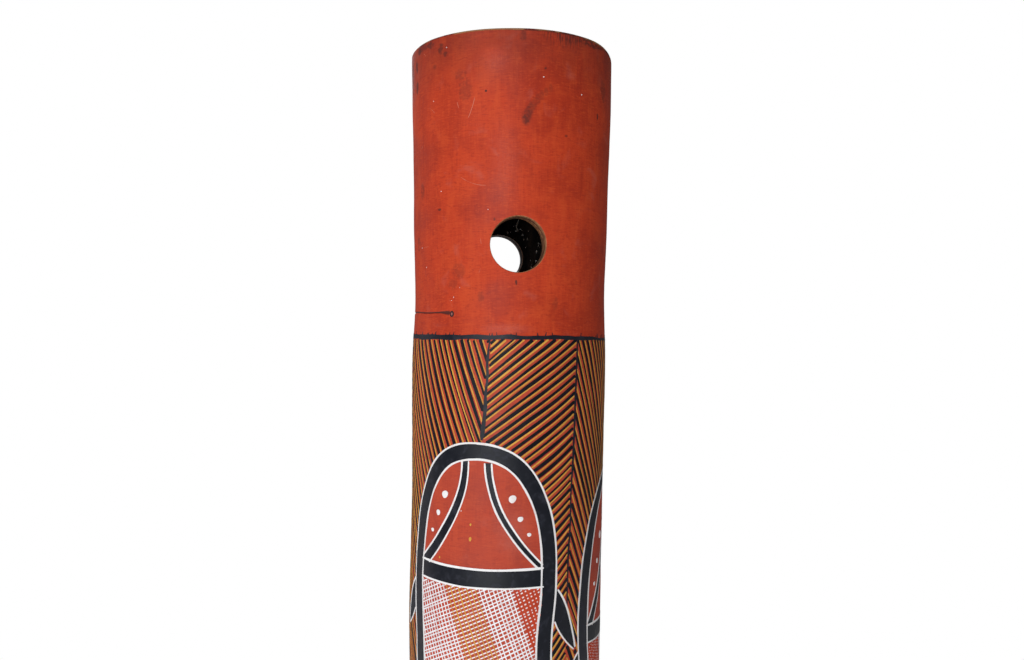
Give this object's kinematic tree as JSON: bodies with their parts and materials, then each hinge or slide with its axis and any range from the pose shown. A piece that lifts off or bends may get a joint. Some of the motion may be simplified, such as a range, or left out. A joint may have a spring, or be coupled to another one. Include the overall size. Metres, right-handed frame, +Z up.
{
  "type": "didgeridoo",
  "caption": "Painted hollow log wind instrument with a wide bell end, a level hole through both walls near it and a wax mouthpiece.",
  "frame": {"origin": "on the floor, in the middle of the box round the upright log", "axes": "+Z up along the log from the wax mouthpiece to the bell; -Y is the side with the hole's front mouth; +X to the right of it"},
  "size_m": [0.1388, 0.1367, 1.4],
  "materials": {
    "painted_wood": "matt earth paint on wood, with fine painted lines",
    "beeswax": "worn dark beeswax, smooth and slightly glossy"
  },
  "bodies": {
    "root": {"log_body": "painted_wood", "beeswax_mouthpiece": "beeswax"}
  },
  "joints": []
}
